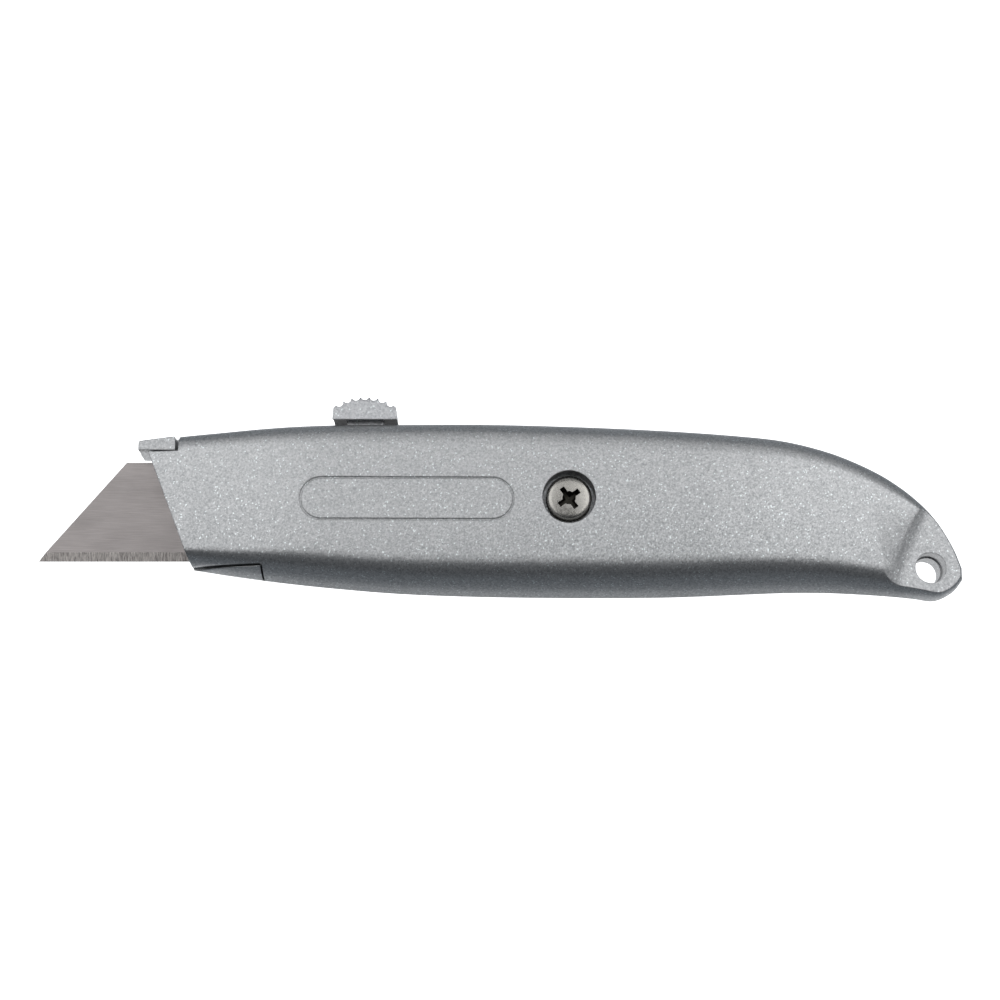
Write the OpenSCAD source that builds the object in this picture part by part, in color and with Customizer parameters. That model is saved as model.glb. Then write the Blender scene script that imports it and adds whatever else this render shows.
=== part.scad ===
// Utility knife: two cast shells held by one screw, a blade that slides out of the nose on a
// carrier, a thumb button that frees it, and spare blades stored inside.
// The knife lies on its side: X runs along it with the blade towards -X, Y points up to the
// spine, Z points up out of the front shell. The screw's axis is at X = 0, Y = 0.

/* [Handle] */
// length of the handle from nose to tail
body_length = 155; // [150:1:188]
// height of the handle from spine to belly
body_height = 33; // [32:0.5:40]
// thickness over both shells
body_thickness = 19; // [19:0.5:23]
// wall of the cast shells
wall = 2.2; // [1.8:0.1:2.7]
// lean of the nose edge from upright, in degrees
nose_lean = 21.4; // [16:0.2:26]
// gap between the shells' interlocking corners
seam_gap = 0.4; // [0.2:0.05:0.5]

/* [Blade] */
// length of the cutting edge
blade_length = 62; // [51.5:0.1:62.5]
// height from edge to back
blade_height = 19; // [17:0.1:19]
// thickness of the blade
blade_thickness = 0.63; // [0.5:0.01:0.76]
// height of the ground bevel
bevel_height = 1.75; // [1:0.05:2.2]
// how far the sloped ends run back
blade_slope = 16.1; // [13:0.1:19.4]
// width of the two notches in the back
notch_width = 3; // [2.4:0.1:3.6]

/* [Slide] */
// travel of the blade from out to in
blade_travel = 31; // [25:0.5:31]
// from the front of the hollow to the lug in the blade's notch
lug_in = 2.69; // [2.3:0.01:4]

/* [Button] */
// length of the button's cap
cap_length = 12.2; // [10:0.1:14.7]
// width of the button's cap across the knife
cap_width = 10; // [8.2:0.1:10.5]
// height of the cap from its lower edge to its top
cap_height = 4.4; // [3.6:0.1:5.4]
// length of the neck under the cap
neck_length = 6.8; // [5.6:0.1:8.2]
// width of the neck across the knife
neck_width = 5.3; // [4.4:0.1:5.6]
// number of grip teeth on the cap
cap_teeth = 6; // [4:1:8]
// travel of the button when pressed
press_travel = 0.8; // [0.5:0.05:0.8]

/* [Screw] */
// diameter of the screw's head
head_d = 8.5; // [7:0.1:10.2]
// height of the screw's head
head_h = 3.3; // [2.6:0.1:4]
// diameter of the screw's shank
shank_d = 4.8; // [4:0.1:5.8]
// how far the head sits below the shell's face
head_sunk = 1.2; // [0.4:0.1:1.5]

/* [Lanyard hole and plaque] */
// diameter of the hole in the rear shell
lanyard_d = 5.2; // [4:0.1:6.3]
// thickness of the flat pad around the hole
pad_thickness = 9.4; // [8.2:0.1:11.3]
// length of the engraved plaque line
plaque_length = 40; // [33:0.5:44]
// height of the engraved plaque line
plaque_height = 8.2; // [6.6:0.1:9.9]

/* [Hidden] */

$fn = 64;
mid = body_thickness / 2;
slide_gap = 0.06;
far = 120;

// the handle's outline at the seam: place along X, spine, belly, all for a 155 x 33 handle
outline = [[-85, 11.6, -8.6], [-76, 12.75, -11.3], [-66, 13.7, -13.1], [-55, 14.65, -14.65],
    [-44, 15.12, -15.85], [-31, 15.2, -16.9], [-16, 15.2, -17.45], [2, 14.72, -17.66],
    [19, 13.92, -17.55], [33, 12.9, -17.0], [41, 11.95, -16.7], [48, 10.25, -16.7],
    [54, 8.1, -16.95], [60, 5.15, -17.35], [65, 1.5, -17.8], [69, -2.8, -18.15],
    [72.2, -8.1, -16.6], [73.9, -12.4, -14.6]];
steps = 2;
outline_last = len(outline) - 1;
scale_x = body_length / 155;
scale_y = body_height / 33;

// half thickness along the handle, as a share of the thickest place
depth_line = [[-85, 0.5], [-76, 0.62], [-68, 0.73], [-60, 0.82], [-54, 0.88], [-50, 0.91],
    [-8, 1], [28, 1], [38, 0.955], [48, 0.865], [56, 0.765], [64, 0.64], [74, 0.54]];
function half_depth(x) = mid * lookup(x / scale_x, depth_line);

// corner rounding: share of the half thickness, then inset at the spine and at the belly
corner = [[0, 0, 0], [0.3, 0.012, 0.07], [0.53, 0.055, 0.145], [0.72, 0.135, 0.235],
    [0.865, 0.245, 0.345], [0.955, 0.37, 0.475], [1, 0.52, 0.63]];
corner_last = len(corner) - 1;

function row(i) = outline[max(0, min(outline_last, i))];
function smooth(u) = let(i = min(floor(u), outline_last - 1), t = u - i,
        a = row(i - 1), b = row(i), c = row(i + 1), d = row(i + 2))
    0.5 * (2 * b + (c - a) * t + (2 * a - 5 * b + 4 * c - d) * pow(t, 2)
        + (3 * b - a - 3 * c + d) * pow(t, 3));
function span(first, n) = [for (i = [first * n : outline_last * n]) smooth(i / n)];
function ring(s) = concat([for (p = s) [p[0] * scale_x, p[1] * scale_y, 0]],
    [for (i = [len(s) - 1 : -1 : 0]) [s[i][0] * scale_x, s[i][2] * scale_y, 1]]);
function tangent(r, i) = let(a = r[max(0, i - 1)], b = r[min(len(r) - 1, i + 1)],
        v = [b[0] - a[0], b[1] - a[1]]) v / norm(v);
// at the tail the spine's rounding passes over into the belly's
function belly(p) = let(t = max(0, min(1, (p[0] / scale_x - 50) / 24)))
    p[2] == 0 ? 0.5 * t : 1 - 0.5 * t;
function inset_point(r, i, level, skin, roof) = let(p = r[i], v = tangent(r, i),
        w = belly(p), h = half_depth(p[0]) - skin,
        tight = 1 - 0.75 * max(0, min(1, (p[0] / scale_x - 62) / 8)),
        d = h * tight * (corner[level][1] * (1 - w) + corner[level][2] * w) + skin)
    [p[0] + v[1] * d, min(p[1] - v[0] * d, roof), h * corner[level][0]];

// half of the handle's outer skin (side 1 up, -1 down), or a hollow under it that keeps below
// the roof and passes a little through the seam
module half_form(side, first, skin, roof) {
    r = ring(span(first, skin > 0 ? 1 : steps));
    n = len(r);
    points = [for (k = [0 : corner_last], i = [0 : n - 1])
        let(p = inset_point(r, i, k, skin, roof))
            [p[0], p[1], mid + side * (k == 0 && skin > 0 ? -1 : p[2])]];
    sides = [for (k = [0 : corner_last - 1], i = [0 : n - 1], half = [0, 1])
        let(j = (i + 1) % n, a = k * n + i, b = k * n + j, c = b + n, d = a + n)
            half == 0 ? [a, b, c] : [a, c, d]];
    top = [for (i = [0 : n / 2 - 2], half = [0, 1])
        let(a = corner_last * n + i, b = a + 1, d = corner_last * n + n - 1 - i, c = d - 1)
            half == 0 ? [a, b, c] : [a, c, d]];
    bottom = [for (i = [0 : n / 2 - 2], half = [0, 1])
        let(b = i + 1, d = n - 1 - i, c = d - 1)
            half == 0 ? [c, b, i] : [d, c, i]];
    faces = concat(sides, top, bottom);
    polyhedron(points = points, faces = side > 0 ? faces
        : [for (f = faces) [for (i = [len(f) - 1 : -1 : 0]) f[i]]], convexity = 6);
}

// places that follow from the sizes
nose_mid = -75.28 * scale_x;
nose_x = nose_mid - 4.4;
blade_back = 8.33;
blade_y = blade_back - blade_height;
blade_half = blade_thickness / 2;
button_x = nose_x + 41.3;
spine = 15.17 * scale_y;
roof_y = 12.5;
slot_width = neck_width + 0.2;
hollow_x = -66 * scale_x;
plate_low = 2.1;
rib_top = plate_low + slide_gap;
rail_top = 9.6;
leaf = 0.4;
leaf_half = 3.2;
stem_r = 1.3;
rivet_r = 1;
bump_x = button_x - 11.2;
notch_apart = 11;
notch_deep = 1.1;
lug_x = hollow_x + lug_in;
blade_x = lug_x - notch_apart / 2 - blade_length / 2;
rest_notches = [0, 8, 16, blade_travel];
tail_x = 74 * scale_x;
hole_x = tail_x - 6.5;
hole_y = -12.6 * scale_y;
peg_x = tail_x - 19.5;
cap_low = spine + 0.53;
seat_z = mid - head_sunk - head_h;
store_x = 60 - blade_length;
store_y = -13.2;
store_low = 3.2;
stack_step = blade_thickness + 0.02;
stack_top = 5 * stack_step - store_low;
post_x = store_x + blade_length / 2;
post_y = store_y + blade_height - notch_deep;
clip_arm = 21;
clip_rest = 3.2;
lip_end = -57.05 * scale_x;
tab_end = -73.26 * scale_x;
tab_y = 9.43;
lip_y = -12;

module block(x1, x2, y1, y2, z1, z2) {
    translate([x1, y1, mid + z1]) cube([x2 - x1, y2 - y1, z2 - z1]);
}
module peg(x, y, r, z1, z2) { translate([x, y, mid + z1]) cylinder(h = z2 - z1, r = r); }
module upright(x, r, y1, y2) {
    translate([x, y1, mid]) rotate([-90, 0, 0]) cylinder(h = y2 - y1, r = r);
}
// flat shape drawn in X and Z, with its depth in Y
module side_drawn(y1, y2) {
    translate([0, y2, mid]) rotate([90, 0, 0]) linear_extrude(height = y2 - y1) children();
}
// rib that stands on the inner face of one shell and ends at height z from the seam
module rib(side, x1, x2, y1, y2, z) {
    side_drawn(y1, y2) polygon([[x1, z], [x1, side * (half_depth(x1) - 1)],
        [(x1 + x2) / 2, side * (half_depth((x1 + x2) / 2) - 1)],
        [x2, side * (half_depth(x2) - 1)], [x2, z]]);
}
module post(side, x, y, r, z) {
    if (side > 0) peg(x, y, r, z, half_depth(x) - 1);
    else peg(x, y, r, 1 - half_depth(x), z);
}
module nose_cut() {
    translate([nose_mid, 0, 0]) rotate([0, 0, nose_lean])
        translate([-far, -far, -far]) cube([far, 2 * far, 2 * far]);
}
// cone that thins the tail down to the pad on one side
module pad_cone(side) {
    translate([tail_x + 47.3, -32.8 * scale_y, mid]) mirror([0, 0, side < 0 ? 1 : 0])
        translate([0, 0, pad_thickness / 2]) cylinder(h = 5, r1 = 62.1, r2 = 70.2, $fn = 200);
}
module stadium(l, h) {
    square([l - h, h], center = true);
    for (s = [-1, 1]) translate([s * (l - h) / 2, 0]) circle(d = h);
}

// cuts that both shells share: blade slit, button slot, detents and the tail's pad
module shared_cuts(side) {
    block(nose_x - 8, nose_x + 22, blade_y - 0.3, blade_back + 0.12,
        -blade_half - slide_gap, blade_half + slide_gap);
    block(button_x - neck_length / 2 - 0.4, button_x + blade_travel + neck_length / 2 + 0.4,
        roof_y - 1, spine + 2, -slot_width / 2, slot_width / 2);
    for (d = rest_notches) peg(bump_x + d, roof_y, 0.85, -leaf_half - 0.3, leaf_half + 0.3);
    pad_cone(side);
}

module front_shell() {
    color("silver") difference() {
        union() {
            difference() {
                half_form(1, 0, 0, far);
                half_form(1, 2, wall, roof_y);
            }
            // boss under the screw's head, and the narrower one down to the seam
            peg(0, 0, head_d / 2 + 2.2, seat_z - 1.6, mid - 0.5);
            peg(0, 0, shank_d / 2 + 2.1, 0, seat_z);
            // rail that keeps the blade down in its carrier
            rib(1, nose_x + 15, -9, 2, 3.6, blade_half + slide_gap);
            // seat of the locating peg, and boss around the lanyard hole
            post(1, peg_x, 1, 3, 0);
            peg(hole_x, hole_y, lanyard_d / 2 + 2, 0, pad_thickness / 2 - 0.6);
            // ribs that press on the magazine clip
            for (s = [-1, 1]) rib(1, post_x + s * clip_arm - 0.7, post_x + s * clip_arm + 0.7,
                -8, 2, clip_rest);
        }
        shared_cuts(1);
        nose_cut();
        // notches for the rear shell's tab and lip
        block(-far, tab_end, tab_y, far, -1, far);
        block(-far, lip_end, -far, lip_y, -1, far);
        // counterbore and hole of the screw, seat of the peg, lanyard hole
        peg(0, 0, head_d / 2 + 0.7, seat_z, far);
        peg(0, 0, shank_d / 2 + 0.2, -1, far);
        peg(peg_x, 1, 1.55, -1, 2.6);
        peg(hole_x, hole_y, lanyard_d / 2 + 0.25, -1, far);
        // engraved plaque line, tilted with the face
        translate([-30.2 * scale_x, -0.24, mid + half_depth(-30.2 * scale_x) - 0.25])
            rotate([0, -atan(0.09 * mid / (42 * scale_x)), -0.4]) linear_extrude(height = 2)
                difference() {
                    stadium(plaque_length, plaque_height);
                    stadium(plaque_length - 0.7, plaque_height - 0.7);
                }
    }
}

module rear_shell() {
    color("silver") difference() {
        union() {
            difference() {
                half_form(-1, 0, 0, far);
                half_form(-1, 2, wall, roof_y);
            }
            // tab and lip that stand in the front shell's notches
            intersection() {
                half_form(1, 0, 0, far);
                union() {
                    block(-far, tab_end - seam_gap - 0.3, tab_y + seam_gap, far, -1, 5);
                    block(-far, lip_end - seam_gap, -far, lip_y - seam_gap, -1, 7);
                }
            }
            // boss of the screw
            post(-1, 0, 0, shank_d / 2 + 2.1, 0);
            // ribs that guide the carrier's tongue and carry its plate
            for (y = [[-6.6, -5.2], [1, 2.4], [5.6, 7]])
                rib(-1, nose_x + 15, -6, y[0], y[1], -rib_top);
            // ribs and notch posts of the spare blades
            for (x = [post_x - 22, post_x, post_x + 20])
                rib(-1, x - 0.6, x + 0.6, -11, 2, -store_low - 0.02);
            for (s = [-1, 1]) post(-1, post_x + s * notch_apart / 2, post_y,
                notch_width / 2 - 0.2, stack_top + 1);
            // locating peg, and boss around the lanyard hole
            post(-1, peg_x, 1, 3, 0);
            peg(peg_x, 1, 1.5, -1, 2.4);
            peg(hole_x, hole_y, lanyard_d / 2 + 2, 0.6 - pad_thickness / 2, 0);
        }
        shared_cuts(-1);
        difference() {
            nose_cut();
            block(-far, far, tab_y + seam_gap, far, -far, far);
        }
        block(-far, nose_x - 1.4, -far, far, -far, far);
        peg(0, 0, shank_d / 2 + 0.05, seat_z - 11.5, 1);
        peg(hole_x, hole_y, lanyard_d / 2, -far, 1);
    }
}

module body_screw() {
    color("lightgray") difference() {
        union() {
            peg(0, 0, head_d / 2, seat_z, seat_z + head_h - 0.35);
            translate([0, 0, mid + seat_z + head_h - 0.35])
                cylinder(h = 0.35, r1 = head_d / 2, r2 = head_d / 2 - 0.35);
            peg(0, 0, shank_d / 2, seat_z - 11, seat_z);
        }
        // cross recess
        for (a = [36, 126]) translate([0, 0, mid + seat_z + head_h - 0.8]) rotate([0, 0, a])
            cube([0.59 * head_d, 0.95, 2], center = true);
        translate([0, 0, mid + seat_z + head_h - 1.8])
            cylinder(h = 2, r1 = 0.5, r2 = 1.25);
    }
}

// blade flat on its seam plane, edge along X from the origin
module blade_form() {
    l = blade_length;
    tip = 0.085 * blade_slope;
    difference() {
        translate([0, 0, -blade_half]) linear_extrude(height = blade_thickness)
            polygon([[0, 0], [tip, bevel_height], [blade_slope, blade_height],
                [l - blade_slope, blade_height], [l - tip, bevel_height], [l, 0]]);
        for (s = [-1, 1]) translate([l / 2 + s * notch_apart / 2, blade_height - notch_deep, -1]) {
            cylinder(h = 2, r = notch_width / 2);
            translate([-notch_width / 2, 0, 0]) cube([notch_width, 3, 2]);
        }
        // bevel ground on both faces
        for (s = [0, 1]) mirror([0, 0, s]) rotate([90, 0, 90]) translate([0, 0, -1])
            linear_extrude(height = l + 2)
                polygon([[-1, 0.015], [0, 0.015], [bevel_height, blade_half],
                    [bevel_height, 1], [-1, 1]]);
    }
}

module blade() {
    color("gray") translate([blade_x, blade_y, mid]) blade_form();
}

module spare_blade(i) {
    color("gray") translate([store_x, store_y, mid - store_low + blade_half + i * stack_step])
        blade_form();
}

module blade_carrier() {
    front = hollow_x + 0.8;
    back = button_x + 1.9;
    color("darkgray") difference() {
        union() {
            // plate under the blade, with the tongue that runs between the rear shell's ribs
            block(front, back, blade_y + 2.7, blade_back + 0.2, -plate_low,
                -blade_half - slide_gap);
            block(front + 1, back - 1, 2.45, 5.55, -plate_low - 1.3, -plate_low + 0.2);
            // rail over the blade's back: high under the rivet, lower under the free leaf
            block(front, bump_x - 4.6, blade_back + 0.12, 10.2, -plate_low, plate_low);
            block(bump_x - 5, button_x + 4.4, blade_back + 0.12, rail_top, -plate_low, plate_low);
            // guide of the button's stem
            block(button_x - 3.4, button_x + 3.4, 4.8, rail_top, -plate_low, plate_low);
            // lug in the blade's notch
            peg(lug_x, blade_back - notch_deep, notch_width / 2 - 0.15, -blade_half - 0.3, 1.2);
            block(lug_x - notch_width / 2 + 0.3, lug_x + notch_width / 2 - 0.3,
                blade_back - notch_deep, blade_back + 0.3, -blade_half - 0.3, 1.2);
        }
        upright(button_x, stem_r + slide_gap, 0, rail_top + 1);
        upright(bump_x - 9, rivet_r + 0.02, blade_back + 0.4, 12);
    }
}

module thumb_button() {
    dome = 9.4;
    color("silver") {
        difference() {
            intersection() {
                translate([button_x, cap_low, mid - cap_width / 2]) linear_extrude(height = cap_width)
                    polygon([[-cap_length / 2, 0], [cap_length / 2, 0],
                        [cap_length / 2 - 0.35, cap_height], [0.35 - cap_length / 2, cap_height]]);
                translate([button_x, cap_low + cap_height - dome, 0])
                    cylinder(h = body_thickness, r = dome, $fn = 120);
                translate([button_x - far / 2, cap_low, mid]) rotate([90, 0, 90])
                    linear_extrude(height = far) polygon([[0, -cap_width / 2],
                        [0.8 * cap_height, -cap_width / 2], [0.93 * cap_height, 0.3 - cap_width / 2],
                        [cap_height, 0.9 - cap_width / 2], [cap_height, cap_width / 2 - 0.9],
                        [0.93 * cap_height, cap_width / 2 - 0.3], [0.8 * cap_height, cap_width / 2],
                        [0, cap_width / 2]]);
            }
            // grip grooves round the dome
            for (i = [0 : cap_teeth]) translate([button_x, cap_low + cap_height - dome, 0])
                rotate([0, 0, (i - cap_teeth / 2) * 10.2]) translate([0, dome + 0.1, 0])
                    cylinder(h = body_thickness, r = 0.6);
            // hollow underside that follows the spine's rounding
            translate([button_x - far / 2, cap_low - 20.4, mid]) rotate([0, 90, 0])
                cylinder(h = far, r = 21, $fn = 200);
        }
        block(button_x - neck_length / 2, button_x + neck_length / 2, 11.2, cap_low + 1.5,
            -neck_width / 2, neck_width / 2);
        block(button_x - 4.9, button_x + 4.9, 11.05, roof_y - 0.25, -3.3, 3.3);
        upright(button_x, stem_r, 6, 11.2);
    }
}

module detent_spring() {
    color("slategray") difference() {
        union() {
            translate([bump_x, 0, mid - leaf_half]) linear_extrude(height = 2 * leaf_half)
                polygon([[-12, 10.25], [-5, 10.25], [-0.9, 11.9], [0.9, 11.9], [3.7, 10.6],
                    [15.4, 10.6], [15.4, 10.6 + leaf], [3.9, 10.6 + leaf], [0.9, 11.9 + leaf],
                    [-0.9, 11.9 + leaf], [-5.1, 10.25 + leaf], [-12, 10.25 + leaf]]);
            peg(bump_x, 12.45, 0.6, -leaf_half, leaf_half);
        }
        upright(bump_x - 9, rivet_r + 0.02, 9, 12);
        upright(button_x, stem_r + 0.3, 9, 12);
    }
}

module spring_rivet() {
    color("silver") {
        upright(bump_x - 9, rivet_r, blade_back + 0.45, 10.3 + leaf);
        upright(bump_x - 9, 1.9, 10.27 + leaf, 10.8 + leaf);
    }
}

// flat strip on the notch posts, with two arms that bow up to the front shell's ribs
module magazine_clip() {
    clip_line = [[clip_arm + 1.5, clip_rest - 0.34], [clip_arm - 1, clip_rest - 0.34],
        [9, stack_top + 0.04]];
    color("slategray") difference() {
        side_drawn(post_y - 8, post_y + 0.9) polygon(concat(
            [for (p = clip_line) [post_x - p[0], p[1]]],
            [for (i = [len(clip_line) - 1 : -1 : 0]) [post_x + clip_line[i][0], clip_line[i][1]]],
            [for (p = clip_line) [post_x + p[0], p[1] + 0.3]],
            [for (i = [len(clip_line) - 1 : -1 : 0])
                [post_x - clip_line[i][0], clip_line[i][1] + 0.3]]));
        for (s = [-1, 1]) peg(post_x + s * notch_apart / 2, post_y, notch_width / 2, -1, far);
    }
}

front_shell();
rear_shell();
body_screw();
blade();
blade_carrier();
thumb_button();
detent_spring();
spring_rivet();
spare_blade(0);  // spare_blade_1
spare_blade(1);  // spare_blade_2
spare_blade(2);  // spare_blade_3
spare_blade(3);  // spare_blade_4
spare_blade(4);  // spare_blade_5
magazine_clip();
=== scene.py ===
import bisect
import math

import bmesh
import bpy
from mathutils import Matrix, Vector


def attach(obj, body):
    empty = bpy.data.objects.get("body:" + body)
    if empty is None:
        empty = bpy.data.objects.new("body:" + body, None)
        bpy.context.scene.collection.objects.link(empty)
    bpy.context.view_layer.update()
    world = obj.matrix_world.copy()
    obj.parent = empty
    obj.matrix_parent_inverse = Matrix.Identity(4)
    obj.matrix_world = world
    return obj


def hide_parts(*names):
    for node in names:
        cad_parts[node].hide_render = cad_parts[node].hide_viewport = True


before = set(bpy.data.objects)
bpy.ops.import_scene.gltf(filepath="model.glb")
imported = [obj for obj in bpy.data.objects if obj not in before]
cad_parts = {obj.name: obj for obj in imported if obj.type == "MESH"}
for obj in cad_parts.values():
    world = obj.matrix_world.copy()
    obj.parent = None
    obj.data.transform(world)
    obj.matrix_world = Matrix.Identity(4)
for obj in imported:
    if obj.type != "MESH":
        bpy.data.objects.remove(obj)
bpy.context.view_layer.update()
print("frame loaded")

mm = 0.001
seam = 9.5  # height of the plane where the shells meet, in millimetres

# ---- shared helpers: pieces are drawn in millimetres about the screw, then brought to metres


def toLinear(hexText):  # sRGB hex to linear RGBA
    values = [int(hexText[i:i + 2], 16) / 255 for i in (1, 3, 5)]
    return [v / 12.92 if v <= 0.04045 else ((v + 0.055) / 1.055) ** 2.4 for v in values] + [1.0]


def between(table, x, column=1):  # value of a table's column at x, straight lines in between
    places = [line[0] for line in table]
    i = min(max(bisect.bisect_right(places, x), 1), len(table) - 1)
    low, high = table[i - 1], table[i]
    share = min(max((x - low[0]) / (high[0] - low[0]), 0), 1)
    return low[column] + (high[column] - low[column]) * share


def makeObject(name, bm):
    mesh = bpy.data.meshes.new(name)
    bm.to_mesh(mesh)
    bm.free()
    obj = bpy.data.objects.new(name, mesh)
    bpy.context.scene.collection.objects.link(obj)
    return obj


def combine(bm, other, operation="DIFFERENCE"):  # boolean of two closed shapes
    base, tool = makeObject("base", bm), makeObject("tool", other)
    cut = base.modifiers.new("cut", "BOOLEAN")
    cut.object, cut.operation, cut.solver = tool, operation, "MANIFOLD"
    result = bmesh.new()
    result.from_object(base, bpy.context.evaluated_depsgraph_get())
    for obj in (base, tool):
        mesh = obj.data
        bpy.data.objects.remove(obj)
        bpy.data.meshes.remove(mesh)
    return result


def shift(bm, way):
    bmesh.ops.translate(bm, verts=bm.verts, vec=way)


def turn(bm, degrees, axis):  # about an axis through the origin
    bmesh.ops.rotate(bm, verts=bm.verts, cent=(0, 0, 0),
                     matrix=Matrix.Rotation(math.radians(degrees), 3, axis))


def boxShape(x, y, z):  # each a (low, high) pair
    bm = bmesh.new()
    bmesh.ops.create_cube(bm, size=1)
    bmesh.ops.scale(bm, verts=bm.verts, vec=(x[1] - x[0], y[1] - y[0], z[1] - z[0]))
    shift(bm, [(p[0] + p[1]) / 2 for p in (x, y, z)])
    return bm


def drumShape(x, y, radius, z, sides=72):
    bm = bmesh.new()
    bmesh.ops.create_cone(bm, cap_ends=True, segments=sides, radius1=radius, radius2=radius,
                          depth=z[1] - z[0])
    shift(bm, (x, y, (z[0] + z[1]) / 2))
    return bm


def spunShape(profile, centre, sides=96):  # profile of (radius, height), both ends on the axis
    bm = bmesh.new()
    points = [bm.verts.new((r, 0, z)) for r, z in profile]
    edges = [bm.edges.new(pair) for pair in zip(points, points[1:])]
    bmesh.ops.spin(bm, geom=points + edges, cent=(0, 0, 0), axis=(0, 0, 1), angle=math.tau,
                   steps=sides, use_merge=True)
    bmesh.ops.remove_doubles(bm, verts=bm.verts, dist=0.0005)
    bmesh.ops.recalc_face_normals(bm, faces=bm.faces)
    shift(bm, centre)
    return bm


def prismShape(outline, z):  # a flat outline pulled up from the lower height to the upper one
    bm = bmesh.new()
    face = bm.faces.new([bm.verts.new((p[0], p[1], z[0])) for p in outline])
    pulled = bmesh.ops.extrude_face_region(bm, geom=[face], use_keep_orig=True)
    bmesh.ops.translate(bm, vec=(0, 0, z[1] - z[0]),
                        verts=[v for v in pulled["geom"] if isinstance(v, bmesh.types.BMVert)])
    bmesh.ops.recalc_face_normals(bm, faces=bm.faces)
    return bm


def arc(centre, radius, start, end, count):  # points along an arc, angles in degrees
    angles = [math.radians(start + (end - start) * i / (count - 1)) for i in range(count)]
    return [(centre[0] + radius * math.cos(a), centre[1] + radius * math.sin(a)) for a in angles]


def addPiece(name, bm, materials, body, stands, edge, angle=32):
    bmesh.ops.scale(bm, verts=bm.verts, vec=(mm, mm, mm))
    bmesh.ops.remove_doubles(bm, verts=bm.verts, dist=4e-6)
    bmesh.ops.dissolve_degenerate(bm, edges=bm.edges, dist=2e-6)
    obj = makeObject(name, bm)
    obj.data.shade_smooth()
    breakEdges(obj, edge, angle)
    for material in materials:
        obj.data.materials.append(material)
    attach(obj, body)
    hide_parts(*stands)
    return obj


def breakEdges(obj, edge, angle, segments=3):  # small rounding of every sharp edge
    rounding = obj.modifiers.new("broken edges", "BEVEL")
    rounding.width, rounding.segments = edge * mm, segments
    rounding.limit_method, rounding.angle_limit = "ANGLE", math.radians(angle)
    rounding.harden_normals, rounding.use_clamp_overlap = True, True


def addNode(tree, kind, settings=None, links=None):  # inputs by name or number, else attributes
    made = tree.nodes.new(kind)
    for key, value in (settings or {}).items():
        if isinstance(key, int) or key in made.inputs:
            made.inputs[key].default_value = value
        else:
            setattr(made, key, value)
    for key, source in (links or {}).items():
        tree.links.new(source, made.inputs[key])
    return made


def newMaterial(name):
    material = bpy.data.materials.new(name)
    material.use_nodes = True
    tree = material.node_tree
    place = addNode(tree, "ShaderNodeTexCoord").outputs["Object"]
    return material, tree, tree.nodes["Principled BSDF"], place


def mixColours(tree, share, low, high):  # low and high are hex text or sockets
    mix = addNode(tree, "ShaderNodeMix", {"data_type": "RGBA"})
    tree.links.new(share, mix.inputs[0])
    for socket, colour in ((mix.inputs[6], low), (mix.inputs[7], high)):
        if isinstance(colour, str):
            socket.default_value = toLinear(colour)
        else:
            tree.links.new(colour, socket)
    return mix.outputs[2]


def spread(tree, value, fromLow, fromHigh, toLow, toHigh):  # maps one range onto another
    return addNode(tree, "ShaderNodeMapRange", {1: fromLow, 2: fromHigh, 3: toLow, 4: toHigh},
                   {0: value}).outputs[0]


def noiseAt(tree, place, size, detail=2.0, stretch=(1, 1, 1)):  # size in millimetres
    scaled = addNode(tree, "ShaderNodeVectorMath", {"operation": "MULTIPLY",
                     1: [1 / (size * mm * s) for s in stretch]}, {0: place}).outputs[0]
    return addNode(tree, "ShaderNodeTexNoise", {"Scale": 1.0, "Detail": detail},
                   {"Vector": scaled}).outputs["Fac"]


# ---- camera: overhead, leaning a little towards the blade's edge

view = {"aim": (-12.84, 1.18, seam), "distance": 450, "lean": 11.0, "lens": 85.5}

cameraData = bpy.data.cameras.new("benchCamera")
cameraData.lens, cameraData.sensor_width, cameraData.clip_start = view["lens"], 36, 0.01
camera = bpy.data.objects.new("benchCamera", cameraData)
lean = math.radians(view["lean"])
away = Vector((0, -math.sin(lean), math.cos(lean)))
camera.location = mm * (Vector(view["aim"]) + view["distance"] * away)
camera.rotation_euler = (lean, 0, 0)
bpy.context.scene.collection.objects.link(camera)
bpy.context.scene.camera = camera
bpy.context.scene.view_settings.view_transform = "Standard"

# ---- floor and lights

studio = {
    "floorSize": 1.6, "floorColour": "#9ea4aa", "glowColour": "#ffffff", "floorGlow": 1.45,
    "glowSlant": (0.05, 0.25),  # full glow below the first slant, none past the second
    "roomColour": "#d3dbe4", "roomStrength": 0.1,
    "lamps": [  # name, place, size along and across, watts, all aimed at the knife
        ("leftBox", (-0.36, 0.18, 0.7), (0.52, 0.6), 1.8),
        ("rightBox", (0.34, 0.18, 0.7), (0.46, 0.6), 1.75),
        ("spineBox", (0.0, 0.62, 0.42), (1.3, 0.5), 1.5),
        ("tailStrip", (0.75, 0.1, 0.36), (0.3, 0.5), 0.7),
    ],
}

floorShape = bmesh.new()
bmesh.ops.create_grid(floorShape, x_segments=1, y_segments=1, size=studio["floorSize"] / 2)
floor = makeObject("paperFloor", floorShape)
# backlit white panel: its glow follows the line of sight, white face-on and grey at a slant
paper, tree, shader, place = newMaterial("backlit white panel")
shader.inputs["Base Color"].default_value = toLinear(studio["floorColour"])
shader.inputs["Roughness"].default_value = 0.9
shader.inputs["Emission Color"].default_value = toLinear(studio["glowColour"])
slant = addNode(tree, "ShaderNodeLayerWeight", {"Blend": 0.5}).outputs["Facing"]
tree.links.new(spread(tree, slant, *studio["glowSlant"], studio["floorGlow"], 0.0),
               shader.inputs["Emission Strength"])
floor.data.materials.append(paper)

world = bpy.data.worlds.new("studioRoom")
world.use_nodes = True
room = world.node_tree.nodes["Background"]
room.inputs["Color"].default_value = toLinear(studio["roomColour"])
room.inputs["Strength"].default_value = studio["roomStrength"]
bpy.context.scene.world = world

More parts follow.
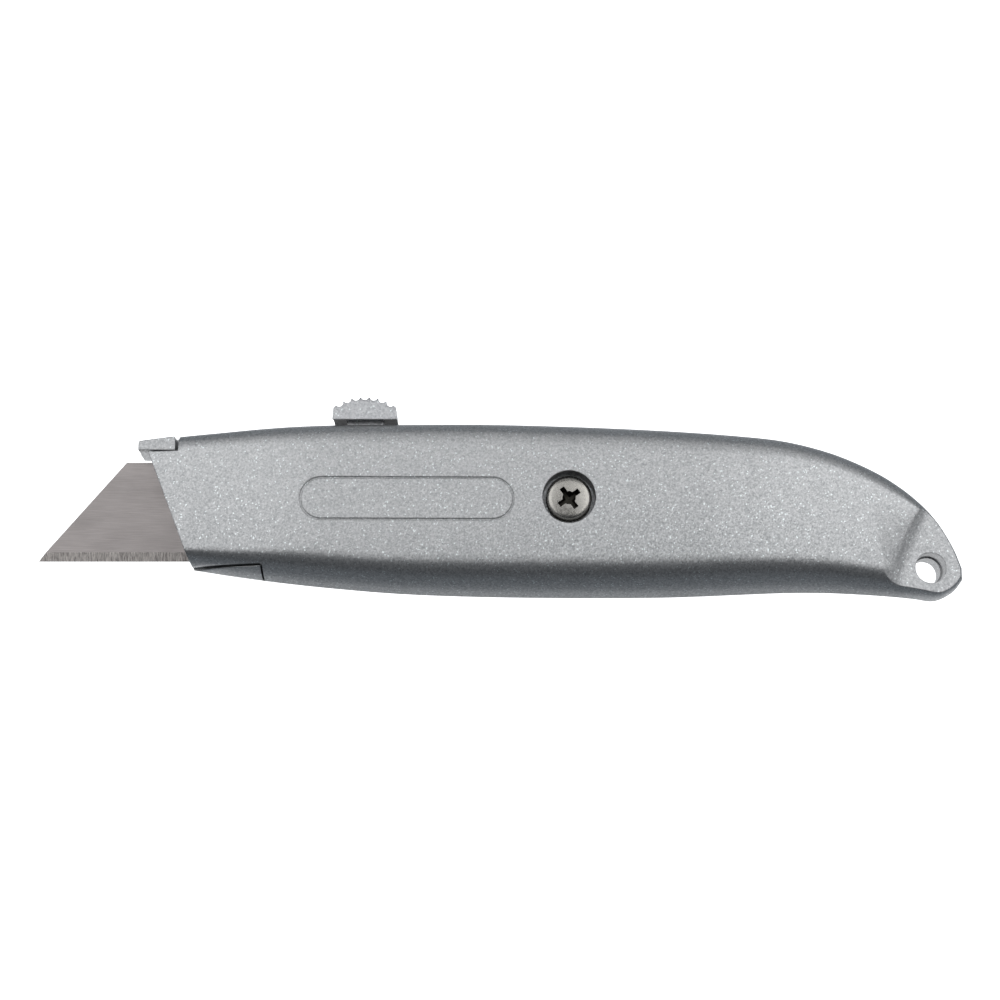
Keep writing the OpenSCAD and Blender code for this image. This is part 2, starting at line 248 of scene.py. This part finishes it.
for name, spot, size, watts in studio["lamps"]:
    lampData = bpy.data.lights.new(name, "AREA")
    lampData.shape, lampData.energy = "RECTANGLE", watts
    lampData.size, lampData.size_y = size
    lamp = bpy.data.objects.new(name, lampData)
    lamp.location = spot
    lamp.rotation_euler = (-Vector(spot)).to_track_quat("-Z", "Y").to_euler()
    bpy.context.scene.collection.objects.link(lamp)
print("camera, floor and lights ready")

# ---- materials

# satin silver powder coat on die-cast zinc: flakes of unlike brightness, a few of them glinting
coat = {"dark": "#9b9d9f", "light": "#cccdce", "glint": "#dbe1e2", "flake": 0.23, "cloud": 0.45,
        "glints": 0.975, "tilt": 0.09, "peel": 0.5, "peelDepth": 0.004, "metallic": 0.9,
        "rough": 0.45, "edge": 0.3}


def powderCoat(name, values):
    material, tree, shader, place = newMaterial(name)
    cells = addNode(tree, "ShaderNodeTexVoronoi", {"Scale": 1 / (values["flake"] * mm)},
                    {"Vector": place})
    shade = addNode(tree, "ShaderNodeSeparateColor", {}, {"Color": cells.outputs["Color"]})
    cloud = noiseAt(tree, place, values["cloud"], 3.0)
    share = addNode(tree, "ShaderNodeMath", {"operation": "MULTIPLY_ADD", 1: 0.55},
                    {0: shade.outputs[0], 2: spread(tree, cloud, 0.3, 0.7, -0.05, 0.5)})
    ground = mixColours(tree, share.outputs[0], values["dark"], values["light"])
    glint = addNode(tree, "ShaderNodeMath", {"operation": "GREATER_THAN", 1: values["glints"]},
                    {0: shade.outputs[1]}).outputs[0]
    tree.links.new(mixColours(tree, glint, ground, values["glint"]), shader.inputs["Base Color"])
    rough = spread(tree, glint, 0, 1, values["rough"], 0.85 * values["rough"])
    tree.links.new(rough, shader.inputs["Roughness"])
    shader.inputs["Metallic"].default_value = values["metallic"]
    rounded = addNode(tree, "ShaderNodeBevel", {"samples": 4, "Radius": values["edge"] * mm})
    peel = addNode(tree, "ShaderNodeBump", {"Strength": 1.0, "Distance": values["peelDepth"] * mm},
                   {"Height": noiseAt(tree, place, values["peel"], 2.0),
                    "Normal": rounded.outputs[0]})
    lean = addNode(tree, "ShaderNodeVectorMath", {"operation": "SUBTRACT", 1: (0.5, 0.5, 0.5)},
                   {0: cells.outputs["Color"]})
    tilted = addNode(tree, "ShaderNodeVectorMath", {"operation": "MULTIPLY_ADD",
                     1: [values["tilt"]] * 3}, {0: lean.outputs[0], 2: peel.outputs[0]})
    facing = addNode(tree, "ShaderNodeVectorMath", {"operation": "NORMALIZE"},
                     {0: tilted.outputs[0]})
    tree.links.new(facing.outputs[0], shader.inputs["Normal"])
    return material


shellCoat = powderCoat("silver metallic powder coat", coat)

# the button is the same casting metal with a closer, brighter coat
buttonCoat = powderCoat("fine silver powder coat", {**coat, "dark": "#9b9da0", "light": "#cbccce",
                        "flake": 0.3, "tilt": 0.1, "peelDepth": 0.006, "rough": 0.38})

# ground high-carbon steel: lengthwise grain on the flat, grinding marks across the bevel, smears
blade = {"dark": "#777372", "light": "#969190", "bevelDark": "#7d7876", "bevelLight": "#d8d2ce",
         "bevelTop": -8.92, "flatGrain": 0.07, "marks": 0.16, "smear": 9.0, "rough": 0.34}


def bladeSteel(name, values):
    material, tree, shader, place = newMaterial(name)
    along = noiseAt(tree, place, values["flatGrain"], 3.0, (60, 1, 1))
    across = noiseAt(tree, place, values["marks"], 3.0, (1, 40, 1))
    smear = noiseAt(tree, place, values["smear"], 3.0, (1, 0.5, 1))
    height = addNode(tree, "ShaderNodeSeparateXYZ", {}, {"Vector": place}).outputs["Y"]
    edge = values["bevelTop"] * mm
    onFlat = spread(tree, height, edge - 0.05 * mm, edge + 0.05 * mm, 0, 1)
    lines = addNode(tree, "ShaderNodeMix", {"data_type": "FLOAT"},
                    {0: onFlat, 2: across, 3: along}).outputs[0]
    share = addNode(tree, "ShaderNodeMath", {"operation": "MULTIPLY_ADD", 1: 0.7},
                    {0: smear, 2: spread(tree, lines, 0.3, 0.7, -0.12, 0.42)})
    flat = mixColours(tree, share.outputs[0], values["dark"], values["light"])
    ground = mixColours(tree, spread(tree, across, 0.3, 0.7, 0, 1), values["bevelDark"],
                        values["bevelLight"])
    tree.links.new(mixColours(tree, onFlat, ground, flat), shader.inputs["Base Color"])
    rough = spread(tree, smear, 0.3, 0.7, values["rough"] - 0.05, values["rough"] + 0.08)
    tree.links.new(rough, shader.inputs["Roughness"])
    shader.inputs["Metallic"].default_value = 1.0
    cuts = addNode(tree, "ShaderNodeBump", {"Strength": 0.5, "Distance": 0.004 * mm},
                   {"Height": lines})
    tree.links.new(cuts.outputs[0], shader.inputs["Normal"])
    return material


bladeMetal = bladeSteel("ground high-carbon steel", blade)


def plainMetal(name, values):  # one metal with a fine grain, used for the small inner pieces
    material, tree, shader, place = newMaterial(name)
    grain = noiseAt(tree, place, values["grain"], 4.0, values.get("stretch", (1, 1, 1)))
    colour = mixColours(tree, spread(tree, grain, 0.3, 0.7, 0, 1), values["dark"], values["light"])
    tree.links.new(colour, shader.inputs["Base Color"])
    rough = spread(tree, grain, 0.3, 0.7, values["rough"] - 0.06, values["rough"] + 0.06)
    tree.links.new(rough, shader.inputs["Roughness"])
    shader.inputs["Metallic"].default_value = 1.0
    relief = addNode(tree, "ShaderNodeBump", {"Strength": 0.6, "Distance": values["depth"] * mm},
                     {"Height": grain})
    tree.links.new(relief.outputs[0], shader.inputs["Normal"])
    return material


# nickel plate on a forged screw head, with faint turning grain
nickelPlate = plainMetal("nickel-plated steel", {"dark": "#999792", "light": "#a19f9b",
                         "grain": 0.5, "rough": 0.27, "depth": 0.0002})
# dark steel laid in the recess of the screw: painted shade, darker than the plate where the recess
# falls into shadow
recessShadeSteel = plainMetal("steel painted dark as recess shade", {"dark": "#2b2a26", "light": "#4a4842", "grain": 0.4,
                     "rough": 0.5, "depth": 0.01})
# zinc painted near black under the button's cap: painted shade where the cap overhangs the body
capShadeZinc = plainMetal("zinc painted dark as cap underside shade", {"dark": "#25272a", "light": "#3c3f43",
                      "grain": 0.4, "rough": 0.55, "depth": 0.01})
# as-cast zinc with a sandy skin, left bare inside the body
castZinc = plainMetal("bare die-cast zinc", {"dark": "#85878a", "light": "#a9abae",
                      "grain": 0.5, "rough": 0.5, "depth": 0.02})
# hardened strip, drawn lengthwise, for the detent leaf and the magazine clip
springStrip = plainMetal("hardened spring strip", {"dark": "#75797f", "light": "#a4a9b0",
                         "grain": 0.1, "stretch": (40, 1, 1), "rough": 0.3, "depth": 0.003})
print("materials ready")

# ---- shells: two half forms laid ring over ring, hollowed, ribbed and cut

shell = {
    # place along X, spine and belly at the seam
    "outline": [(-85, 11.6, -8.6), (-76, 12.75, -11.3), (-66, 13.7, -13.1), (-55, 14.65, -14.65),
                (-44, 15.12, -15.85), (-31, 15.2, -16.9), (-16, 15.2, -17.45),
                (2, 14.72, -17.66), (19, 13.92, -17.55), (33, 12.9, -17.0), (41, 11.95, -16.7),
                (48, 10.25, -16.7), (54, 8.1, -16.95), (60, 5.15, -17.35), (65, 1.5, -17.8),
                (69, -2.8, -18.15), (72.2, -8.1, -16.6), (73.9, -12.4, -14.6)],
    # half thickness along X, as a share of the thickest place
    "depths": [(-85, 0.5), (-76, 0.62), (-68, 0.73), (-60, 0.82), (-54, 0.88), (-50, 0.91),
               (-8, 1), (28, 1), (38, 0.955), (48, 0.865), (56, 0.765), (64, 0.64), (74, 0.54)],
    # share of the half thickness, then inset at the spine and at the belly
    "corner": [(0, 0, 0), (0.3, 0.012, 0.07), (0.53, 0.055, 0.145), (0.72, 0.135, 0.235),
               (0.865, 0.245, 0.345), (0.945, 0.36, 0.46), (0.985, 0.47, 0.57), (1, 0.62, 0.7)],
    "fine": 6, "wall": 2.2, "stayIn": 0.02, "edge": 0.12,
    "roof": 12.5, "uncut": 99,  # top of the hollow, and of the outside, which has no flat roof
    # where the rounding changes along X, and over what length
    "swap": (50, 24), "tail": (62, 8), "nose": (-52, 24),
    "tailTight": 0.5, "innerTailTight": 0.75, "noseTight": 0.3,
}


def smoothRow(rows, u):  # point on a smooth curve through a table's rows, u counts rows
    last = len(rows) - 1
    i = min(int(u), last - 1)
    t = u - i
    a, b, c, d = (rows[min(max(k, 0), last)] for k in (i - 1, i, i + 1, i + 2))
    return [0.5 * (2 * q + (r - p) * t + (2 * p - 5 * q + 4 * r - s) * t * t
                   + (3 * q - p - 3 * r + s) * t ** 3) for p, q, r, s in zip(a, b, c, d)]


def fade(x, zone, way=1):  # 0 before the zone's start, 1 past its length
    return min(max(way * (x - zone[0]) / zone[1], 0), 1)


def halfDepth(x):
    return seam * between(shell["depths"], x)


def ringAt(line, side, skin, roof, level):  # one level of the half form, round spine and belly
    share, spineIn, bellyIn = level
    inner = skin > 1
    count = len(line)
    ring = []
    for i, (x, y, low) in enumerate(line):
        a, b = line[max(0, i - 1)], line[min(count - 1, i + 1)]
        run = Vector((b[0] - a[0], b[1] - a[1])).normalized()
        passing = 0.5 * fade(x, shell["swap"])
        weight = 1 - passing if low else passing
        tight = 1 - shell["innerTailTight" if inner else "tailTight"] * fade(x, shell["tail"])
        if low and not inner:  # closer rounding towards the nose
            tight -= shell["noseTight"] * fade(x, shell["nose"], -1)
        depth = halfDepth(x) - skin
        inset = depth * tight * (spineIn * (1 - weight) + bellyIn * weight) + skin
        rise = -1 if inner and share == 0 else depth * share
        ring.append((x + run.y * inset, min(y - run.x * inset, roof), seam + side * rise))
    return ring


def halfForm(side, first, skin, roof):  # side 1 rises from the seam, -1 goes down from it
    fine, last = shell["fine"], len(shell["outline"]) - 1
    places = [smoothRow(shell["outline"], i / fine) for i in range(first * fine, last * fine + 1)]
    line = [(p[0], p[1], 0) for p in places] + [(p[0], p[2], 1) for p in reversed(places)]
    half = len(places)
    each = 1 if skin > 1 else 3
    levels = [smoothRow(shell["corner"], k / each)
              for k in range((len(shell["corner"]) - 1) * each + 1)]
    bm = bmesh.new()
    bmesh.ops.create_grid(bm, x_segments=half - 1, y_segments=1, size=1)
    seat = bm.verts.layers.int.new("seat")  # each vertex's place round the ring
    for k, v in enumerate(sorted(bm.verts, key=lambda v: (v.co.y, v.co.x))):
        v[seat] = k if k < half else 3 * half - 1 - k
    top, moved = bm.faces[:], bm.verts[:]
    for n, level in enumerate(levels):
        if n:
            pulled = bmesh.ops.extrude_face_region(bm, geom=top, use_keep_orig=True)["geom"]
            if n > 1:
                bmesh.ops.delete(bm, geom=top, context="FACES")
            top = [g for g in pulled if isinstance(g, bmesh.types.BMFace)]
            moved = [g for g in pulled if isinstance(g, bmesh.types.BMVert)]
        ring = ringAt(line, side, skin, roof, level)
        for v in moved:
            v.co = ring[v[seat]]
    bm.verts.layers.int.remove(seat)
    bmesh.ops.recalc_face_normals(bm, faces=bm.faces)
    if bm.calc_volume(signed=True) < 0:
        bmesh.ops.reverse_faces(bm, faces=bm.faces)
    return bm


fit = {
    "noseMid": -75.28, "noseLean": 21.4, "rearNose": -81.08, "gap": 0.4, "far": 120,
    "holeReach": 20,
    "tabEnd": -73.26, "tabLow": 9.43, "tabLeft": -80.9, "tabTop": 12.6, "tabSwell": 1.35,
    "tabRounding": (0.6, 1.3), "lipEnd": -57.05, "lipTop": -12.0,
    "slit": (-87.7, -57.7, -10.97, 8.45, 0.375), "slot": (-42.18, -3.58, 2.75),
    "slotHeights": (11.5, 18), "bump": -49.58, "rests": (0, 8, 16, 31), "restNotch": (0.85, 3.5),
    "counterbore": (4.95, 5.0), "frontHole": 2.6, "rearHole": (2.45, 6.5),
    "headBoss": (6.45, 3.4, 9), "seamBoss": (4.5, 5),
    "pegSpot": (54.5, 1.0), "pegPost": 3, "peg": (1.5, 2.4), "pegHole": (1.55, 2.6),
    "lanyard": (67.5, -12.6), "lanyardBoss": (4.6, 4.1), "frontLanyard": 2.85, "rearLanyard": 2.6,
    "padHalf": 4.7, "padAxis": (121.2, -32.8),
    "ramp": [(60.6, 0.0), (61.7, 0.06), (62.6, 0.3), (63.6, 0.86), (68.6, 3.95), (69.6, 4.62),
             (70.5, 5.4)],
}

# ribs inside: ends along X, ends along Y, height of the free edge above the seam
ribs = {
    "frontRail": ((-64.7, -9), (2, 3.6), 0.375),
    "clipRibs": [((7.3, 8.7), (-8, 2), 3.2), ((49.3, 50.7), (-8, 2), 3.2)],
    "carrierRails": [((-64.7, -6), y, -2.16) for y in ((-6.6, -5.2), (1, 2.4), (5.6, 7))],
    "bladeRests": [((x - 0.6, x + 0.6), (-11, 2), -3.22) for x in (7, 29, 49)],
    "notchPosts": [(29 - 5.5, 4.7, 1.3, 1.05), (29 + 5.5, 4.7, 1.3, 1.05)],
    "screwPost": (0, 0, 4.5, 0),
}

plaque = {"length": 40, "height": 8.2, "line": 0.35, "middle": (-30.2, -0.24), "sunk": 0.25,
          "fall": (0.09, 42), "turn": -0.4}


def noseCutter():  # everything in front of the slanted nose plane
    far = fit["far"]
    bm = boxShape((-far, 0), (-far, far), (-far, far))
    turn(bm, fit["noseLean"], "Z")
    shift(bm, (fit["noseMid"], 0, 0))
    return bm


def padCutter(side):  # thins the tail to the lanyard pad, with a soft foot and shoulder
    low = fit["padHalf"]
    profile = [(0, low)] + [(r, low + z) for r, z in fit["ramp"]]
    profile += [(profile[-1][0] + 2, 12), (0, 12)]
    bm = spunShape(profile, (0, 0, 0), 360)
    if side < 0:
        bmesh.ops.mirror(bm, geom=bm.verts[:] + bm.edges[:] + bm.faces[:], axis="Z",
                         merge_dist=-1, matrix=Matrix.Identity(4))
        bmesh.ops.delete(bm, geom=[v for v in bm.verts if v.co.z > 0], context="VERTS")
        bmesh.ops.recalc_face_normals(bm, faces=bm.faces)
    shift(bm, (*fit["padAxis"], seam))
    return bm


def cutShared(bm, side):  # blade slit, button slot, detent notches and the pad
    left, right, low, high, half = fit["slit"]
    bm = combine(bm, boxShape((left, right), (low, high), (seam - half, seam + half)))
    left, right, half = fit["slot"]
    bm = combine(bm, boxShape((left, right), fit["slotHeights"], (seam - half, seam + half)))
    radius, reach = fit["restNotch"]
    for step in fit["rests"]:
        bm = combine(bm, drumShape(fit["bump"] + step, shell["roof"], radius,
                                   (seam - reach, seam + reach), 32))
    return combine(bm, padCutter(side))


def ribShape(side, x, y, z):  # stands on the inner face and ends at height z from the seam
    wallAt = [seam + side * (halfDepth(p) - 1) for p in (x[0], sum(x) / 2, x[1])]
    outline = [(x[0], seam + z), (x[0], wallAt[0]), (sum(x) / 2, wallAt[1]),
               (x[1], wallAt[2]), (x[1], seam + z)]
    bm = prismShape(outline, (-y[1], -y[0]))
    turn(bm, 90, "X")
    return bm


def postShape(side, x, y, radius, z):
    ends = (seam + z, seam + side * (halfDepth(x) - 1))
    return drumShape(x, y, radius, (min(ends), max(ends)), 48)


def plaqueLine():  # thin sunk line round a long rounded plaque, tilted with the face
    def track(length, height):
        reach = (length - height) / 2
        return (arc((reach, 0), height / 2, -90, 90, 33)
                + arc((-reach, 0), height / 2, 90, 270, 33))

    length, height, thin = plaque["length"], plaque["height"], 2 * plaque["line"]
    bm = combine(prismShape(track(length, height), (0, 2)),
                 prismShape(track(length - thin, height - thin), (-1, 3)))
    turn(bm, plaque["turn"], "Z")
    turn(bm, -math.degrees(math.atan(plaque["fall"][0] * seam / plaque["fall"][1])), "Y")
    x, y = plaque["middle"]
    shift(bm, (x, y, seam + halfDepth(x) - plaque["sunk"]))
    return bm


def drawFront():
    far, spot, eye = fit["far"], fit["pegSpot"], fit["lanyard"]
    bm = combine(halfForm(1, 0, shell["stayIn"], shell["uncut"]),
                 halfForm(1, 2, shell["wall"], shell["roof"]))
    bossRadius, bossLow, bossHigh = fit["headBoss"]
    seamRadius, seamHigh = fit["seamBoss"]
    eyeRadius, eyeHigh = fit["lanyardBoss"]
    for part in (drumShape(0, 0, bossRadius, (seam + bossLow, seam + bossHigh)),
                 drumShape(0, 0, seamRadius, (seam, seam + seamHigh)),
                 ribShape(1, *ribs["frontRail"]), postShape(1, *spot, fit["pegPost"], 0),
                 drumShape(*eye, eyeRadius, (seam, seam + eyeHigh)),
                 *(ribShape(1, *rib) for rib in ribs["clipRibs"])):
        bm = combine(bm, part, "UNION")
    bm = cutShared(bm, 1)
    bore, floorAt = fit["counterbore"]
    pegRadius, pegDeep = fit["pegHole"]
    through = (seam - 1, seam + fit["holeReach"])
    for part in (noseCutter(),
                 boxShape((-far, fit["tabEnd"]), (fit["tabLow"], far), (seam - 1, seam + far)),
                 boxShape((-far, fit["lipEnd"]), (-far, fit["lipTop"]), (seam - 1, seam + far)),
                 drumShape(0, 0, bore, (seam + floorAt, through[1]), 128),
                 drumShape(0, 0, fit["frontHole"], through),
                 drumShape(*spot, pegRadius, (seam - 1, seam + pegDeep), 48),
                 drumShape(*eye, fit["frontLanyard"], through, 96), plaqueLine()):
        bm = combine(bm, part)
    return bm


def noseStands():  # the rear shell's tab and lip, which rise past the seam into the front's notches
    far, gap = fit["far"], fit["gap"]
    left, right = fit["tabLeft"], fit["tabEnd"] - gap - 0.3
    low, high = fit["tabLow"] + gap, fit["tabTop"]
    near, wide = fit["tabRounding"]
    tab = [(left, low), (right, low), *arc((right - near, high - near), near, 0, 90, 7),
           *arc((left + wide, high - 1.7), wide, 90, 180, 9)]
    lip = boxShape((-far, fit["lipEnd"] - gap), (-far, fit["lipTop"] - gap), (seam - 1, seam + 7))
    stands = []
    for part, swell in ((prismShape(tab, (seam - 1, seam + 5)), fit["tabSwell"]), (lip, 1)):
        form = halfForm(1, 0, shell["stayIn"], shell["uncut"])
        shift(form, (0, 0, -seam))
        bmesh.ops.scale(form, verts=form.verts, vec=(1, 1, swell))
        shift(form, (0, 0, seam))
        stands.append(combine(form, part, "INTERSECT"))
    return stands


def drawRear():
    far, spot, eye = fit["far"], fit["pegSpot"], fit["lanyard"]
    bm = combine(halfForm(-1, 0, shell["stayIn"], shell["uncut"]),
                 halfForm(-1, 2, shell["wall"], shell["roof"]))
    pegRadius, pegHigh = fit["peg"]
    eyeRadius, eyeHigh = fit["lanyardBoss"]
    for part in (*noseStands(), postShape(-1, *ribs["screwPost"]),
                 *(ribShape(-1, *rib) for rib in ribs["carrierRails"] + ribs["bladeRests"]),
                 *(postShape(-1, *post) for post in ribs["notchPosts"]),
                 postShape(-1, *spot, fit["pegPost"], 0),
                 drumShape(*spot, pegRadius, (seam - 1, seam + pegHigh), 48),
                 drumShape(*eye, eyeRadius, (seam - eyeHigh, seam))):
        bm = combine(bm, part, "UNION")
    bm = cutShared(bm, -1)
    holeRadius, holeDeep = fit["rearHole"]
    nose = combine(noseCutter(), boxShape((-far * 3, far), (fit["tabLow"] + fit["gap"], far * 3),
                                          (seam - far * 2, seam + far * 2)))
    for part in (nose, boxShape((-far, fit["rearNose"]), (-far, far), (seam - far, seam + far)),
                 drumShape(0, 0, holeRadius, (seam - holeDeep, seam + 1)),
                 drumShape(*eye, fit["rearLanyard"], (seam - fit["holeReach"], seam + 1), 96)):
        bm = combine(bm, part)
    return bm


frontShell = addPiece("castFrontShell", drawFront(), [shellCoat], "cover",
                      ["front_shell"], shell["edge"])
print("front shell ready", len(frontShell.data.polygons))
rearShell = addPiece("castRearShell", drawRear(), [shellCoat], "handle",
                     ["rear_shell"], shell["edge"])
print("rear shell ready", len(rearShell.data.polygons))

# ---- body screw: crowned head with a cross recess, shank with rings in place of the thread

screw = {"head": 4.25, "seat": 5.0, "height": 3.3, "shank": 2.38, "length": 11.0, "pitch": 0.8,
         "crown": [(1.1, 0.03), (0.55, 0.1), (0.2, 0.27), (0, 0.6)],  # in from the rim, down
         "plain": 1.6, "threadDepth": 0.34, "arm": (5.0, 0.98, 2.5), "taper": (0.72, 0.85, 1),
         "throat": [(0, -2.6), (0.6, -2.2), (1.3, 0.2), (0, 0.2)], "turn": 36, "edge": 0.09}


def drawScrew(values):
    top, seat, radius = values["seat"] + values["height"], values["seat"], values["head"]
    shank, root = values["shank"], values["shank"] - values["threadDepth"]
    start, end = seat - values["plain"], seat - values["length"]
    profile = [(0, top), *((radius - inward, top - down) for inward, down in values["crown"]),
               (radius, seat + 0.15), (radius - 0.15, seat), (shank, seat),
               (shank, start + 0.2), (root, start)]
    for i in range(int((start - end - 0.8) / values["pitch"])):
        z = start - i * values["pitch"]
        profile += [(root, z - 0.12), (shank, z - 0.36), (shank, z - 0.48), (root, z - 0.72)]
    profile += [(root, end + 0.3), (root - 0.4, end), (0, end)]
    bm = spunShape(profile, (0, 0, seam), 96)
    length, width, depth = values["arm"]
    for angle in (values["turn"], values["turn"] + 90):
        arm = boxShape((-length / 2, length / 2), (-width / 2, width / 2), (-depth, 1))
        bmesh.ops.scale(arm, verts=[v for v in arm.verts if v.co.z < 0], vec=values["taper"])
        turn(arm, angle, "Z")
        shift(arm, (0, 0, seam + top))
        bm = combine(bm, arm)
    bm = combine(bm, spunShape(values["throat"], (0, 0, seam + top), 48))
    for face in bm.faces:  # the recess takes the dark steel, painted shade
        middle = face.calc_center_median()
        if middle.xy.length < 0.6 * length and seam + seat < middle.z < seam + top - 0.2:
            face.material_index = 1
    return bm


bodyScrew = addPiece("crossRecessScrew", drawScrew(screw), [nickelPlate, recessShadeSteel], "screw",
                     ["body_screw"], screw["edge"], 38)
print("screw ready", len(bodyScrew.data.polygons))

# ---- thumb button: toothed dome on a neck, with the flange and stem that hold it in the body

button = {"x": -38.38, "low": 15.7, "half": 6.1, "height": 4.4, "dome": 9.4, "teeth": 7,
          "toothTurn": 10.2, "groove": 0.76, "grooveOut": 0.16, "spread": 40, "lean": 0.35,
          "width": 5.0, "round": 0.9, "crest": 21.0, "crestLow": -20.4,
          "neck": (3.4, 2.65), "flange": (4.9, 3.3, 11.05, 12.25), "stem": (1.3, 6.0, 11.2),
          "edge": 0.06}


def domeOutline(values):  # side view of the cap, round a centre below its top
    half, low, groove = values["half"], values["low"], values["groove"]
    centre = low + values["height"] - values["dome"]
    outer = values["dome"] + values["grooveOut"]  # the grooves' centres lie just past the dome
    slope = values["lean"] / values["height"]
    points = [(-half, low), (half, low)]
    steps = 400
    for i in range(steps + 1):
        angle = math.radians(values["spread"] * (1 - 2 * i / steps))
        reach = values["dome"]
        for tooth in range(values["teeth"]):
            off = angle - math.radians((tooth - (values["teeth"] - 1) / 2) * values["toothTurn"])
            across = outer * math.sin(off)
            if abs(across) < groove:
                reach = min(reach, outer * math.cos(off) - math.sqrt(groove ** 2 - across ** 2))
        x, y = reach * math.sin(angle), centre + reach * math.cos(angle)
        if abs(x) <= half - slope * (y - low):
            points.append((x, y))
    return [(values["x"] + x, y) for x, y in points]


def drawButton(values):
    x, half, low, width = values["x"], values["half"], values["low"], values["width"]
    bm = prismShape(domeOutline(values), (seam - width, seam + width))
    corner = values["round"]
    across = [(-width, low - 1), *arc((corner - width, low + values["height"] - corner), corner,
                                      180, 95, 7)]
    profile = prismShape(across + [(-a, b) for a, b in reversed(across)], (-half - 1, half + 1))
    turn(profile, 90, "Y")
    shift(profile, (x, 0, seam))
    bm = combine(bm, profile, "INTERSECT")
    arch = drumShape(0, 0, values["crest"], (-half - 1, half + 1), 256)
    turn(arch, 90, "Y")
    shift(arch, (x, low + values["crestLow"], seam))
    bm = combine(bm, arch)
    radius, stemLow, stemHigh = values["stem"]
    stem = drumShape(0, 0, radius, (-stemHigh, -stemLow), 48)
    turn(stem, 90, "X")
    shift(stem, (x, 0, seam))
    for face in bm.faces:  # the underside of the cap takes the dark zinc, painted shade
        face.material_index = int(face.normal.y < -0.7)
    reach, deep = values["neck"]
    flangeReach, flangeDeep, flangeLow, flangeHigh = values["flange"]
    for part in (boxShape((x - reach, x + reach), (flangeLow, low + 1.5),
                          (seam - deep, seam + deep)),
                 boxShape((x - flangeReach, x + flangeReach), (flangeLow, flangeHigh),
                          (seam - flangeDeep, seam + flangeDeep)), stem):
        bm = combine(bm, part, "UNION")
    return bm


thumbButton = addPiece("toothedThumbButton", drawButton(button), [buttonCoat, capShadeZinc], "button",
                       ["thumb_button"], button["edge"], 40)
print("button ready", len(thumbButton.data.polygons))

# ---- pieces shown as the frame gives them, with broken edges and their own metal

finishes = {
    "blade": (bladeMetal, 0.03), "blade_carrier": (castZinc, 0.15),
    "detent_spring": (springStrip, 0.06), "spring_rivet": (nickelPlate, 0.12),
    "magazine_clip": (springStrip, 0.06),
    **{f"spare_blade_{i}": (bladeMetal, 0.03) for i in range(1, 6)},
}

for node, (material, edge) in finishes.items():
    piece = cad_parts[node]
    piece.data.materials.clear()
    piece.data.materials.append(material)
    closing = piece.modifiers.new("closed faces", "WELD")
    closing.merge_threshold = 0.002 * mm
    breakEdges(piece, edge, 25, 2)
print("inner pieces finished")
